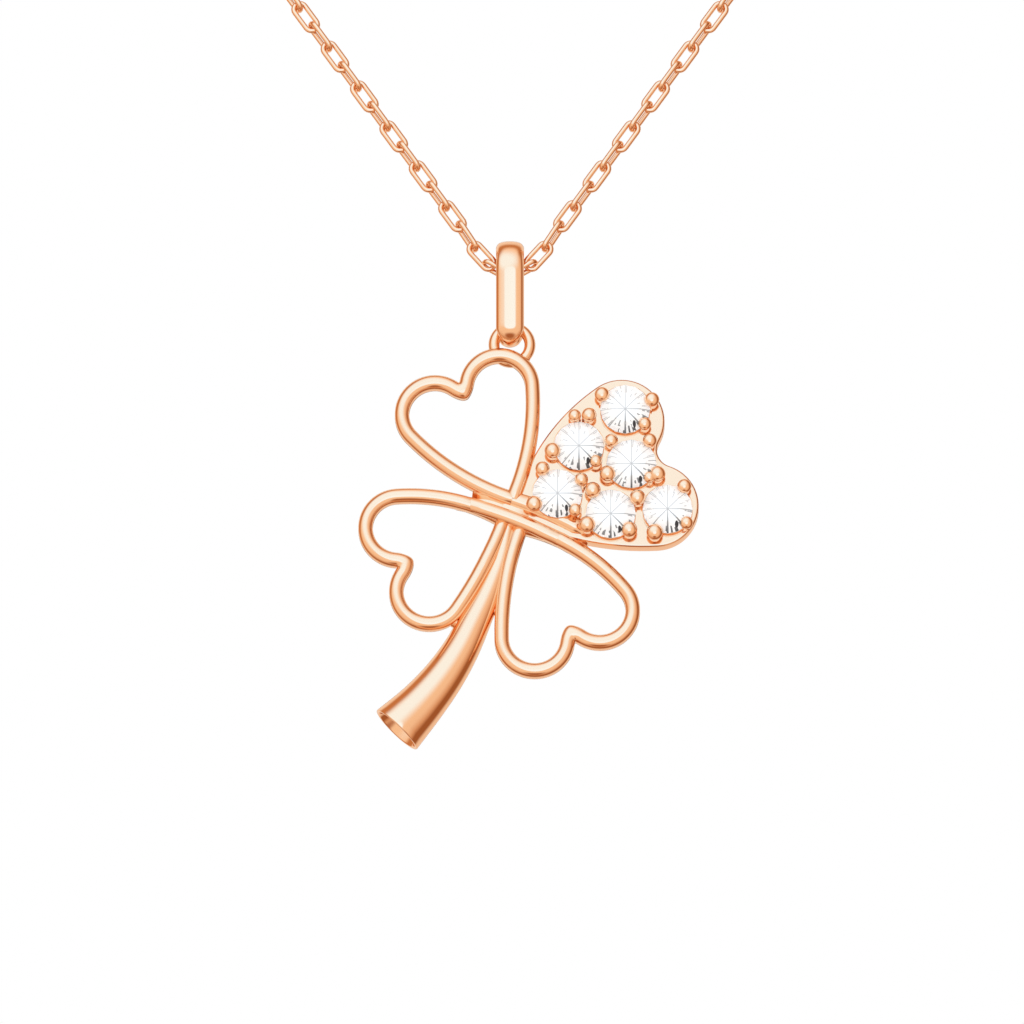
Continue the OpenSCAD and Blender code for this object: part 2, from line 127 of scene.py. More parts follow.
def direction(points, i):
    before = points[i] - points[max(i - 1, 0)]
    after = points[min(i + 1, len(points) - 1)] - points[i]
    if i == 0:
        return after.normalized()
    if i == len(points) - 1:
        return before.normalized()
    a, b = before.length, after.length
    return (after * a / b + before * b / a) / (a + b)


def smooth_points(points, steps):
    found = []
    for i in range(len(points) - 1):
        length = (points[i + 1] - points[i]).length
        m, n = direction(points, i) * length, direction(points, i + 1) * length
        for k in range(steps):
            t = k / steps
            found.append((2 * t**3 - 3 * t**2 + 1) * points[i] + (t**3 - 2 * t**2 + t) * m
                         + (3 * t**2 - 2 * t**3) * points[i + 1] + (t**3 - t**2) * n)
    return found + [points[-1]]


# %% [markdown]
# The camera comes first, because everything is judged through it. The photograph was taken from a
# little below, with a long lens, so its lines hardly converge.

# %% Camera
VIEW_UP = radians(14)
VIEW_WIDTH = 40.96 * MM
VIEW_DISTANCE = 1.5
AIM = Vector((0.08 * MM, -102.6 * MM, -145.09 * MM))
look = Vector((0, cos(VIEW_UP), sin(VIEW_UP)))
bpy.ops.object.camera_add(location=AIM - look * VIEW_DISTANCE)
camera = bpy.context.object
camera.rotation_mode = "QUATERNION"
camera.rotation_quaternion = look.to_track_quat("-Z", "Y")
camera.data.sensor_width = 36
camera.data.lens = camera.data.sensor_width * VIEW_DISTANCE / VIEW_WIDTH
camera.data.clip_start = 0.01
bpy.context.scene.camera = camera
print("lens", round(camera.data.lens), "mm")

# %% [markdown]
# Two materials do all the work. Both are written as real substances first: the colour is what the metal
# reflects, and on the metal all light and dark comes from the studio round it. The stones also carry painted
# reflections, dark lines and a blot, and a faint painted glow.


# %% Colour and nodes
def srgb(code):
    """The linear colour of an sRGB hex value."""
    parts = [int(code[i:i + 2], 16) / 255 for i in (1, 3, 5)]
    return tuple(p / 12.92 if p <= 0.04045 else ((p + 0.055) / 1.055) ** 2.4 for p in parts) + (1,)


def node(tree, kind, settings=(), links=()):
    """Adds a node, sets its values and links other sockets into its inputs."""
    made = tree.nodes.new(kind)
    for name, value in dict(settings).items():
        if name in made.inputs:
            made.inputs[name].default_value = value
        else:
            setattr(made, name, value)
    for name, source in dict(links).items():
        tree.links.new(source, made.inputs[name])
    return made


# %% [markdown]
# Rose gold is gold with copper, here a plating over silver that is polished to a mirror. Polishing on a
# wheel leaves marks of about a hundredth of a millimetre, too fine to see at this size, so they are
# drawn ten times as coarse and very shallow. They only make the reflections a little less perfect.

# %% Polished rose gold
GOLD_COLOUR = "#FCCFA8"
POLISH_MARK = 0.1 * MM
WEAR_PATCH = 1.5 * MM


def polished_rose_gold():
    made = bpy.data.materials.new("polished_rose_gold")
    made.use_nodes = True
    tree = made.node_tree
    shader = tree.nodes["Principled BSDF"]
    shader.inputs["Base Color"].default_value = srgb(GOLD_COLOUR)
    shader.inputs["Metallic"].default_value = 1
    place = node(tree, "ShaderNodeTexCoord")
    marks = node(tree, "ShaderNodeTexNoise", {"Scale": 1 / POLISH_MARK, "Detail": 3},
                 {"Vector": place.outputs["Object"]})
    wear = node(tree, "ShaderNodeTexNoise", {"Scale": 1 / WEAR_PATCH, "Detail": 2},
                {"Vector": place.outputs["Object"]})
    rough = node(tree, "ShaderNodeMapRange",
                 {"From Min": 0.3, "From Max": 0.7, "To Min": 0.06, "To Max": 0.13},
                 {"Value": wear.outputs["Fac"]})
    bump = node(tree, "ShaderNodeBump", {"Strength": 0.02, "Distance": 0.01 * MM},
                {"Height": marks.outputs["Fac"]})
    tree.links.new(rough.outputs["Result"], shader.inputs["Roughness"])
    tree.links.new(bump.outputs["Normal"], shader.inputs["Normal"])
    return made


GOLD = polished_rose_gold()
print("made", GOLD.name)

# %% [markdown]
# The stones are cubic zirconia, cut as round brilliants. It bends light much more than glass does, which
# is what makes a stone glitter: light that enters the top leaves it there again, broken up by the facets.
# On stones as small as these that reads as white, with fine dark lines where the facets meet: a star of eight
# long lines, broken lines nearer the rim and a dark blot. These lines and the blot are painted reflections,
# drawn into the colour from each stone's middle.

# %% Cubic zirconia
ZIRCONIA_IOR = 2.15
GLASS_SHARE = 0.12
SURFACE_GLOSS = 0.25
# Strength of a faint white glow painted on the stones to keep them white
PAINTED_GLOW = 0.14
# Grey of the painted reflections, the lines and the blot
PAINTED_LINE_GREY = "#33343A"
STAR_DROP = 0.06
# Size of the noise that breaks the painted lines into dashes, and the share of it above which a broken line
# is drawn
DASH_NOISE_SIZE = 0.28 * MM
DASH_NOISE_ABOVE = 0.47
# Painted reflection lines: number of lines, their turn, the share of the radius where they start, half their
# width, broken or not
PAINTED_FACET_LINES = [(8, 0.0, 0.0, 0.014, False), (8, 0.5, 0.5, 0.014, True), (24, 0.25, 0.68, 0.013, True)]
# The painted lines are wider and darker on the lower part of a stone: how far that part leans, and how the
# grey of a line grows there
LOW_LEAN = 0.4
GREY_GROWS = 0.5
GREY_LEAST = 0.45
# The crown starts this share of the girdle in front of its middle
CROWN_FROM = 0.3
# A painted dark reflection, a blot: across, up and half its width and height, as shares of the radius
PAINTED_REFLECTION_BLOT = (0.36, -0.6, 0.1, 0.17)


def stone_middle(i):
    """Where the middle of stone number i is in the standing pendant."""
    flat = stone_spot(i)
    return CLOVER_AT + Vector((flat.x, -GIRDLE_AT, flat.y))


def value(tree, operation, *inputs):
    """A math node whose inputs are numbers or sockets."""
    made = node(tree, "ShaderNodeMath", {"operation": operation})
    for socket, given in zip(made.inputs, inputs):
        if isinstance(given, (int, float)):
            socket.default_value = given
        else:
            tree.links.new(given, socket)
    return made.outputs["Value"]


def painted_facet_lines(tree, middle):
    """How dark the painted reflections, the lines and the blot, make each place: 0 on a facet and up to 1 on
    a line.
    """
    place = node(tree, "ShaderNodeTexCoord")
    offset = node(tree, "ShaderNodeVectorMath", {"operation": "SUBTRACT"})
    tree.links.new(place.outputs["Object"], offset.inputs[0])
    offset.inputs[1].default_value = middle
    part = node(tree, "ShaderNodeSeparateXYZ", {}, {"Vector": offset.outputs["Vector"]})
    dash_noise = node(tree, "ShaderNodeTexNoise", {"Scale": 1 / DASH_NOISE_SIZE, "Detail": 1},
                 {"Vector": place.outputs["Object"]}).outputs["Fac"]
    x = value(tree, "DIVIDE", part.outputs["X"], STONE_R)
    z = value(tree, "ADD", value(tree, "DIVIDE", part.outputs["Z"], STONE_R), STAR_DROP)
    out = value(tree, "SQRT", value(tree, "MULTIPLY_ADD", x, x, value(tree, "MULTIPLY", z, z)))
    angle = value(tree, "DIVIDE", value(tree, "ARCTAN2", z, x), 2 * pi)
    low = value(tree, "MAXIMUM", value(tree, "SUBTRACT", value(tree, "MULTIPLY", x, LOW_LEAN), z), 0.0)
    dark = 0.0
    for count, turn, start_at, wide, broken in PAINTED_FACET_LINES:
        off = value(tree, "PINGPONG", value(tree, "MULTIPLY_ADD", angle, float(count), turn), 0.5)
        off = value(tree, "MULTIPLY", value(tree, "MULTIPLY", off, out), 2 * pi / count)
        line = value(tree, "LESS_THAN", off, value(tree, "MULTIPLY_ADD", low, 2 * wide, wide))
        line = value(tree, "MULTIPLY", line, value(tree, "GREATER_THAN", out, start_at))
        if broken:
            line = value(tree, "MULTIPLY", line, value(tree, "GREATER_THAN", dash_noise, DASH_NOISE_ABOVE))
        dark = value(tree, "MAXIMUM", dark, line)
    across, up, half_wide, half_tall = PAINTED_REFLECTION_BLOT
    a = value(tree, "DIVIDE", value(tree, "SUBTRACT", x, across), half_wide)
    b = value(tree, "DIVIDE", value(tree, "SUBTRACT", z, up), half_tall)
    dark_reflection_blot = value(tree, "LESS_THAN", value(tree, "MULTIPLY_ADD", a, a, value(tree, "MULTIPLY", b, b)), dash_noise)
    tone = value(tree, "MULTIPLY_ADD", low, GREY_GROWS, GREY_LEAST)
    dark = value(tree, "MAXIMUM", value(tree, "MULTIPLY", dark, tone), dark_reflection_blot)
    ahead = value(tree, "LESS_THAN", part.outputs["Y"], -CROWN_FROM * GIRDLE_T)
    return value(tree, "MULTIPLY", dark, ahead)


def zirconia_with_painted_lines(i):
    made = bpy.data.materials.new(f"zirconia_with_painted_lines_{i + 1}")
    made.use_nodes = True
    tree = made.node_tree
    shader = tree.nodes["Principled BSDF"]
    shader.inputs["Base Color"].default_value = (1, 1, 1, 1)
    shader.inputs["Roughness"].default_value = 0.0
    shader.inputs["IOR"].default_value = ZIRCONIA_IOR
    shader.inputs["Transmission Weight"].default_value = GLASS_SHARE
    shader.inputs["Specular IOR Level"].default_value = SURFACE_GLOSS
    # A faint white glow is painted on, so that the stone stays white
    shader.inputs["Emission Color"].default_value = (1, 1, 1, 1)
    shader.inputs["Emission Strength"].default_value = PAINTED_GLOW
    # Painted reflections: a dark grey shader is mixed in where the lines and the blot fall
    dark = node(tree, "ShaderNodeBsdfPrincipled", {"Base Color": srgb(PAINTED_LINE_GREY), "Roughness": 0.4})
    mixed = node(tree, "ShaderNodeMixShader")
    tree.links.new(painted_facet_lines(tree, stone_middle(i)), mixed.inputs[0])
    tree.links.new(shader.outputs["BSDF"], mixed.inputs[1])
    tree.links.new(dark.outputs["BSDF"], mixed.inputs[2])
    tree.links.new(mixed.outputs["Shader"], tree.nodes["Material Output"].inputs["Surface"])
    return made


# %% [markdown]
# Every piece goes through the same few steps, so they are written once: start with nothing selected,
# choose points by their place, and finish a piece by closing it, turning its faces outwards, smoothing
# it and saying what it rides on. A bench piece is stood up only when it is finished.

# %% Bench helpers
WELD = 0.0005 * MM


def start():
    if bpy.context.mode != "OBJECT":
        bpy.ops.object.mode_set(mode="OBJECT")
    bpy.ops.object.select_all(action="DESELECT")


def edit():
    bpy.ops.object.mode_set(mode="EDIT")
    bpy.ops.mesh.select_mode(type="VERT")


def pick(test):
    """Selects the vertices of the mesh in edit mode whose place passes the test."""
    mesh = bmesh.from_edit_mesh(bpy.context.object.data)
    for face in mesh.faces:
        face.select = False
    for edge in mesh.edges:
        edge.select = False
    for vertex in mesh.verts:
        vertex.select = test(vertex.co)
    mesh.select_flush(True)
    bmesh.update_edit_mesh(bpy.context.object.data)


def place_piece(piece, turn=(0, 0, 0), at=(0, 0, 0)):
    start()
    piece.select_set(True)
    bpy.context.view_layer.objects.active = piece
    piece.rotation_euler = turn
    piece.location = at
    bpy.ops.object.transform_apply(location=True, rotation=True, scale=True)


def close_up():
    """Merges doubles, closes open ends and turns the faces outwards."""
    bpy.ops.mesh.select_all(action="SELECT")
    bpy.ops.mesh.remove_doubles(threshold=WELD)
    bpy.ops.mesh.fill_holes(sides=0)
    bpy.ops.mesh.select_all(action="SELECT")
    bpy.ops.mesh.normals_make_consistent(inside=False)
    bpy.ops.object.mode_set(mode="OBJECT")


def join_into(piece, others):
    start()
    for other in others:
        other.select_set(True)
    piece.select_set(True)
    bpy.context.view_layer.objects.active = piece
    bpy.ops.object.join()


def soften(piece, width, segments=2, angle=30):
    bpy.ops.object.modifier_add(type="BEVEL")
    bevel = piece.modifiers[-1]
    bevel.width = width
    bevel.segments = segments
    bevel.limit_method = "ANGLE"
    bevel.angle_limit = radians(angle)
    bpy.ops.object.modifier_apply(modifier=bevel.name)


def dress(piece, name, body, nodes, smooth_angle=35):
    piece.name = name
    piece.data.name = name
    piece.data.materials.clear()
    piece.data.materials.append(GOLD)
    start()
    piece.select_set(True)
    bpy.context.view_layer.objects.active = piece
    bpy.ops.object.shade_smooth_by_angle(angle=radians(smooth_angle))
    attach(piece, body)
    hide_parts(*nodes)
    print(name, len(piece.data.polygons), "faces")


# %% [markdown]
# The open leaves are one kind of wire: flat sides and back, and a low dome in front. The section is a
# small upright plane whose top edge is subdivided and lifted point by point. Carrying that section
# along a path could be done with a curve and a bevel object, but extruding and spinning the section
# itself keeps its crisp edge, which draws a fine dark line along every wire.

# %% Wire section
SECTION_CUTS = 11


def section(width, depth, dome, top, square=2):
    """A domed section, upright in the plane of x and z, its dome towards z."""
    round_r = (width * width / 4 + dome * dome) / (2 * dome)
    start()
    bpy.ops.mesh.primitive_plane_add(size=1, rotation=(pi / 2, 0, 0))
    piece = bpy.context.object
    flat = depth - dome
    piece.scale = (width, flat, 1)
    piece.location = (0, 0, top - dome - flat / 2)
    bpy.ops.object.transform_apply(location=True, rotation=True, scale=True)
    edit()
    bpy.ops.mesh.delete(type="ONLY_FACE")
    ledge = top - dome
    near = 0.001 * MM
    pick(lambda co: abs(co.z - ledge) < near)
    bpy.ops.mesh.subdivide(number_cuts=SECTION_CUTS)
    for k in range(1, SECTION_CUTS + 1):
        x = width * (k / (SECTION_CUTS + 1) - 0.5)
        pick(lambda co: abs(co.x - x) < near and abs(co.z - ledge) < near)
        if square == 2:
            lift = sqrt(round_r**2 - x * x) - (round_r - dome)
        else:
            lift = dome * (1 - abs(2 * x / width) ** square) ** (1 / square)
        bpy.ops.transform.translate(value=(0, 0, lift))
    bpy.ops.object.mode_set(mode="OBJECT")
    return piece


# %% [markdown]
# With no window, spin and rotate turn clockwise for a positive angle, so both get the angle with its
# sign turned round. A step onward is an extrusion that is moved, turned and resized about its new middle.

# %% Carrying a section
def spin(middle, turn, step, axis=(0, 0, 1)):
    bpy.ops.mesh.spin(steps=max(1, ceil(abs(turn) / step)), angle=-radians(turn), center=middle, axis=axis)


def onward(old, new, turn=0, grow=1, axis="Z"):
    bpy.ops.mesh.extrude_region_move(TRANSFORM_OT_translate={"value": (0, 0, 0)})
    bpy.ops.transform.translate(value=new - old)
    if turn:
        bpy.ops.transform.rotate(value=-radians(turn), orient_axis=axis, center_override=new)
    if grow != 1:
        bpy.ops.transform.resize(value=(grow, grow, grow), center_override=new)


def heading(v):
    return degrees(atan2(v[1], v[0]))


def turned(v, angle):
    a = radians(angle)
    return Vector((v[0] * cos(a) - v[1] * sin(a), v[0] * sin(a) + v[1] * cos(a), 0))


# %% [markdown]
# A heart is five arcs that touch smoothly: a long side, a lobe, the notch, the other lobe and the other
# side. Where two circles of known size meet gives the middle of each arc, as a compass would.

# %% Heart outlines
def meet(p, a, q, b, side):
    """The point at distance a from p and b from q, to the left (1) or right (-1) of the way from p to q."""
    way = q - p
    along = (a * a - b * b + way.length_squared) / (2 * way.length)
    way.normalize()
    return p + along * way + side * sqrt(max(0, a * a - along * along)) * Vector((-way.y, way.x, 0))


def heart_arcs(leaf, lobe, notch):
    """Middle, radius, first direction and signed turn of each arc, anticlockwise from the tip."""
    tip, right, left = (Vector((*share, 0)) * LEAF_LEN for share in leaf[1:4])
    side_right, side_left = (share * LEAF_LEN for share in leaf[4])
    a = meet(tip, side_right, right, side_right - lobe, 1)
    b = meet(tip, side_left, left, side_left - lobe, -1)
    n = meet(right, lobe + notch, left, lobe + notch, -1)
    rows = [(a, side_right, heading(tip - a), heading(right - a)),
            (right, lobe, heading(right - a), heading(n - right)),
            (n, notch, heading(right - n), heading(left - n)),
            (left, lobe, heading(n - left), heading(left - b)),
            (b, side_left, heading(left - b), heading(tip - b))]
    arcs = []
    for k, (middle, radius, first, last) in enumerate(rows):
        turn = (last - first) % 360
        arcs.append((middle, radius, first, turn - 360 if k == 2 else turn))
    return arcs


# %% Wire leaves
SIDE_STEP = 2
LOBE_STEP = 6
NOTCH_STEP = 6
NOTCH_MITRE = 0.24
NOTCH_SOFT = 16
EDGE_ROUND = 0.035 * MM
TIP_REACH = 1.5 * MM
TIP_SINK = 0.22 * MM
TIP_STEPS = 6
CLOVER = ["clover"]


def follow_heart(arcs, mitre):
    """Carries what is selected round the five arcs. A mitre draws the notch to a corner."""
    for k, (middle, radius, first, turn) in enumerate(arcs):
        if k != 2 or not mitre:
            spin(middle, turn, (SIDE_STEP, LOBE_STEP, NOTCH_STEP, LOBE_STEP, SIDE_STEP)[k])
            continue
        steps = ceil(abs(turn) / NOTCH_STEP)
        half, reach = abs(turn) / 2, 1
        corner = 1 / cos(radians(half - NOTCH_SOFT)) - 1
        for i in range(1, steps + 1):
            spin(middle, turn / steps, 360)
            off = hypot(half - i * abs(turn) / steps, NOTCH_SOFT)
            wanted = 1 + mitre * (1 / cos(radians(half - off)) - 1) / corner
            bpy.ops.transform.resize(value=(wanted / reach, wanted / reach, 1), center_override=middle)
            reach = wanted


# The flat frame's place in the standing pendant
TOP_LOBE = turned(Vector((*TOP_LEAF[2], 0)) * LEAF_LEN, TOP_LEAF[0])
CLOVER_X = 0.2 * MM
RING_ACROSS = RING_X - CLOVER_X
RING_UP = TOP_LOBE.y + sqrt(LOBE_R**2 - (RING_ACROSS - TOP_LOBE.x) ** 2) + RING_R - RING_SINK
STRAP_DOWN = BAIL_SPAN + BAIL_LOW_R + BAIL_T / 2
CLOVER_AT = HANG + Vector((CLOVER_X, 0, -STRAP_DOWN - RING_DROP - RING_UP))


def stand(piece, turn=0):
    """Turns a bench piece in its plane, stands it up and sets it where the clover hangs."""
    place_piece(piece, turn=(0, 0, radians(turn)))
    place_piece(piece, turn=(pi / 2, 0, 0), at=CLOVER_AT)


def sink_tip(tip):
    """Lets the wires slope back towards the leaf's tip, where a bar crosses them."""
    for k in range(TIP_STEPS):
        reach = TIP_REACH * (1 - k / TIP_STEPS)
        pick(lambda co: hypot(co.x - tip.x, co.y - tip.y) < reach)
        bpy.ops.transform.translate(value=(0, 0, -TIP_SINK / TIP_STEPS))


def wire_leaf(name, leaf, sunk=True):
    piece = section(WIRE_W, WIRE_DEPTH, WIRE_DOME, WIRE_FRONT)
    arcs = heart_arcs(leaf, LOBE_R, NOTCH_R)
    middle, radius, first, turn = arcs[0]
    at = middle + radius * Vector((cos(radians(first)), sin(radians(first)), 0))
    place_piece(piece, turn=(0, 0, radians(first)), at=at)
    edit()
    bpy.ops.mesh.select_all(action="SELECT")
    follow_heart(arcs, NOTCH_MITRE)
    if sunk:
        sink_tip(Vector((*leaf[1], 0)) * LEAF_LEN)
    close_up()
    soften(piece, EDGE_ROUND)
    stand(piece, leaf[0])
    dress(piece, name, "clover", CLOVER)


wire_leaf("leaf_top_wire", TOP_LEAF, sunk=False)
wire_leaf("leaf_left_wire", LEFT_LEAF)
wire_leaf("leaf_low_wire", LOW_LEAF)

# %% [markdown]
# A bar crosses the middle. It is the same wire, carried point by point along a gentle curve. Each end
# dives a little way into the wire that it runs on into, so that no step shows where it stops. The lower
# wire of the top leaf runs on beside it as the lip of the stone plate, with a groove between the two.

# %% Bar and lip
BAR_PROUD = 0.03 * MM
BAR_DIVE = 0.1 * MM
BAR_STEPS = 4
GROOVE = [(-0.27, 0.085), (-0.231, 0.079), (-0.156, 0.066), (-0.03, 0.02), (0.10, -0.032), (0.21, -0.083),
          (0.319, -0.137), (0.39, -0.177), (0.452, -0.212)]
# Across the groove in millimetres, from the bar to the face of the plate, and how far forward it is
LIP = [(-0.2, -0.36), (-0.2, 0.16), (-0.05, 0.11), (0.1, 0.25), (0.18, 0.33), (0.28, 0.37), (0.4, 0.37),
       (0.55, 0.32), (0.72, 0.215), (0.72, -0.36)]
LIP_RISE = 0.1 * MM
LIP_FALLS_BY = 1.2 * MM
LIP_START = 0.84
# How many millimetres left of the middle the lip starts to widen
LIP_WIDENS_FROM = 0.3
LIP_SINK = 0.3 * MM
LIP_SINK_STEPS = 6
LIP_ROUND = 0.02 * MM


def profile(points):
    """A ring of points upright in the plane of x and z."""
    start()
    bpy.ops.mesh.primitive_circle_add(vertices=len(points), radius=9 * MM)
    piece = bpy.context.object
    edit()
    places = [vertex.co.copy() for vertex in bmesh.from_edit_mesh(piece.data).verts]
    for old, (across, forward) in zip(places, points):
        pick(lambda co: (co - old).length < 0.01 * MM)
        bpy.ops.transform.translate(value=Vector((across * MM, 0, forward * MM)) - old)
    bpy.ops.object.mode_set(mode="OBJECT")
    return piece


def carry(piece, table, rise, size=lambda place: 1):
    """Carries an upright section along a route, lifting each step by rise(step, last, place)."""
    route = smooth_points([Vector((*share, 0)) * LEAF_LEN for share in table], BAR_STEPS)
    ways = [heading(direction(route, i)) for i in range(len(route))]
    last = len(route) - 1
    lifted = [place + Vector((0, 0, rise(i, last, place))) for i, place in enumerate(route)]
    sizes = [size(place) for place in route]
    piece.scale = (sizes[0],) * 3
    place_piece(piece, turn=(0, 0, radians(ways[0] - 90)), at=lifted[0])
    edit()
    bpy.ops.mesh.select_all(action="SELECT")
    for i in range(1, last + 1):
        onward(lifted[i - 1], lifted[i], ways[i] - ways[i - 1], sizes[i] / sizes[i - 1])
    close_up()


def crossing_bar():
    piece = section(WIRE_W + 0.004 * MM, WIRE_DEPTH, WIRE_DOME, WIRE_FRONT + BAR_PROUD)
    carry(piece, LONG_BAR, lambda i, last, place: -BAR_DIVE * max(0, 1 - min(i, last - i) / (2 * BAR_STEPS)))
    soften(piece, EDGE_ROUND)
    stand(piece)
    dress(piece, "crossing_bar", "clover", CLOVER)


def lip_rise(i, last, place):
    """The lip is highest beside the leaf's wire, and sinks out of sight at both ends."""
    rise = LIP_RISE * max(0, min(1, 1 - place.x / LIP_FALLS_BY))
    return rise - LIP_SINK * max(0, 1 - min(i, last - i) / LIP_SINK_STEPS)


def lip_size(place):
    """The lip is narrower where it starts, to the left of the middle."""
    return LIP_START + (1 - LIP_START) * min(1, max(0, place.x / MM + LIP_WIDENS_FROM))


def plate_lip():
    piece = profile([(-across, forward) for across, forward in LIP])
    carry(piece, GROOVE, lip_rise, lip_size)
    soften(piece, LIP_ROUND)
    return piece


crossing_bar()

# %% [markdown]
# The tips of the leaves are soldered over a small round pad, which is hardly seen. It is a low drum with
# its upper edge pressed in, as solder draws it.

# %% Hub
HUB_R = 0.09 * LEAF_LEN
HUB_DOWN = 0.015 * LEAF_LEN
HUB_EDGE_IN = 0.08 * MM
HUB_EDGE_UP = 0.04 * MM
# Where solder fills the corners beside the stem: across, up and radius
SOLDER = [(-2.42, -4.54, 0.25), (-0.83, -4.08, 0.22)]
SOLDER_BACK = 0.1 * MM


def hub():
    start()
    back = PLATE_FRONT - PLATE_T + BAR_PROUD
    bpy.ops.mesh.primitive_cylinder_add(vertices=32, radius=HUB_R, depth=PLATE_T,
                                        location=(0, -HUB_DOWN, back + PLATE_T / 2))
    piece = bpy.context.object
    place_piece(piece, at=piece.location.copy())
    edit()
    top = back + PLATE_T
    pick(lambda co: co.z > top - 0.01 * MM)
    bpy.ops.mesh.inset(thickness=HUB_EDGE_IN, depth=HUB_EDGE_UP)
    close_up()
    stand(piece)
    dress(piece, "middle_hub", "clover", CLOVER)


def solder():
    drops = []
    for across, up, radius in SOLDER:
        start()
        bpy.ops.mesh.primitive_uv_sphere_add(segments=20, ring_count=12, radius=radius * MM)
        piece = bpy.context.object
        place_piece(piece, at=(across * MM, up * MM, -SOLDER_BACK))
        drops.append(piece)
    join_into(drops[0], drops[1:])
    stand(drops[0])
    dress(drops[0], "solder_drops", "clover", CLOVER)


hub()
solder()

# %% [markdown]
# The stone leaf is a thick plate with the outline of a heart. One point is carried round the five arcs,
# the outline is filled and extruded, and its front edge gets a narrow round. Each stone then sits in a
# collet, a low drum with a cone cut out of it, and a fine trench round the collet sets it off.

# %% Plate
PLATE_ROUND = 0.12 * MM
COLLET_ROUND = 0.03 * MM
TRENCH_W = 0.07 * MM
TRENCH_DEEP = 0.14 * MM
SEAT_GAP = 0.02 * MM
SEAT_POINT_R = 0.02 * MM
DRUM_SIDES = 48
PLATE_WELD = 0.005 * MM


def combine(piece, other, operation):
    start()
    piece.select_set(True)
    bpy.context.view_layer.objects.active = piece
    bpy.ops.object.modifier_add(type="BOOLEAN")
    tool = piece.modifiers[-1]
    tool.operation = operation
    tool.solver = "EXACT"
    tool.object = other
    bpy.ops.object.modifier_apply(modifier=tool.name)
    bpy.data.objects.remove(other)


def stone_spot(i):
    """Where the middle of stone number i is in the flat frame."""
    return turned(Vector((*STONES[i], 0)) * LEAF_LEN, STONE_LEAF[0])


def heart_slab():
    start()
    arcs = heart_arcs(STONE_LEAF, PLATE_LOBE_R, PLATE_NOTCH_R)
    tip = Vector((*STONE_LEAF[1], 0)) * LEAF_LEN
    bpy.ops.mesh.primitive_plane_add(size=MM)
    piece = bpy.context.object
    edit()
    bpy.ops.mesh.select_all(action="SELECT")
    bpy.ops.mesh.merge(type="CENTER")
    bpy.ops.transform.translate(value=tip + Vector((0, 0, PLATE_FRONT - PLATE_T)))
    follow_heart(arcs, 0)
    bpy.ops.mesh.select_all(action="SELECT")
    bpy.ops.mesh.remove_doubles(threshold=PLATE_WELD)
    bpy.ops.mesh.edge_face_add()
    bpy.ops.mesh.extrude_region_move(TRANSFORM_OT_translate={"value": (0, 0, PLATE_T)})
    bpy.ops.mesh.bevel(offset=PLATE_ROUND, segments=3, affect="EDGES")
    close_up()
    place_piece(piece, turn=(0, 0, radians(STONE_LEAF[0])))
    return piece


def drum(radius, low, high, at, narrow=None):
    """A drum, or a cone where narrow gives the radius of its lower end."""
    start()
    middle = at + Vector((0, 0, (low + high) / 2))
    if narrow is None:
        bpy.ops.mesh.primitive_cylinder_add(vertices=DRUM_SIDES, radius=radius, depth=high - low,
                                            location=middle)
    else:
        bpy.ops.mesh.primitive_cone_add(vertices=DRUM_SIDES, radius1=narrow, radius2=radius,
                                        depth=high - low, location=middle)
    piece = bpy.context.object
    place_piece(piece, at=middle)
    return piece


def stone_plate():
    plate = heart_slab()
    girdle_low = GIRDLE_AT - GIRDLE_T / 2
    back = PLATE_FRONT - PLATE_T
    for i in range(len(STONES)):
        trench = drum(STONE_R + TRENCH_W, PLATE_FRONT - TRENCH_DEEP, PLATE_FRONT + TRENCH_DEEP, stone_spot(i))
        combine(plate, trench, "DIFFERENCE")
    for i in range(len(STONES)):
        collet = drum(STONE_R, back + PLATE_ROUND, girdle_low - SEAT_GAP, stone_spot(i))
        soften(collet, COLLET_ROUND)
        combine(plate, collet, "UNION")
    combine(plate, plate_lip(), "UNION")
    for i in range(len(STONES)):
        reach = STONE_R * (PAVILION_H + 2 * SEAT_GAP) / PAVILION_H
        seat = drum(reach, girdle_low - PAVILION_H - SEAT_GAP, girdle_low + SEAT_GAP, stone_spot(i),
                    narrow=SEAT_POINT_R)
        combine(plate, seat, "DIFFERENCE")
    stand(plate)
    dress(plate, "stone_plate", "clover", CLOVER, smooth_angle=28)
    # Large flat faces stay flat beside the rounded edge
    bpy.ops.object.modifier_add(type="WEIGHTED_NORMAL")
    plate.modifiers[-1].keep_sharp = True
    bpy.ops.object.modifier_apply(modifier=plate.modifiers[-1].name)


stone_plate()

# %% [markdown]
# Small beads on posts hold the stones. One is modelled from a sphere whose underside is cut away and
# drawn down into a post. It is pressed a little flat, as a setter leaves it, and the rest are copies.

# %% Prongs
POST_LEN = 0.72 * MM
BALL_GROW = 1.15
BALL_FLAT = 0.72


def one_prong():
    start()
    radius = BALL_GROW * BALL_D / 2
    bpy.ops.mesh.primitive_uv_sphere_add(segments=20, ring_count=14, radius=radius)
    piece = bpy.context.object
    edit()
    low = -radius * sqrt(1 - POST_SHARE**2)
    pick(lambda co: co.z < low)
    bpy.ops.mesh.delete(type="VERT")
    bpy.ops.mesh.select_all(action="SELECT")
    bpy.ops.transform.resize(value=(1, 1, BALL_FLAT), center_override=(0, 0, 0))
    bpy.ops.mesh.select_all(action="DESELECT")
    bpy.ops.mesh.select_non_manifold()
    bpy.ops.mesh.extrude_region_move(TRANSFORM_OT_translate={"value": (0, 0, -POST_LEN)})
    close_up()
    return piece


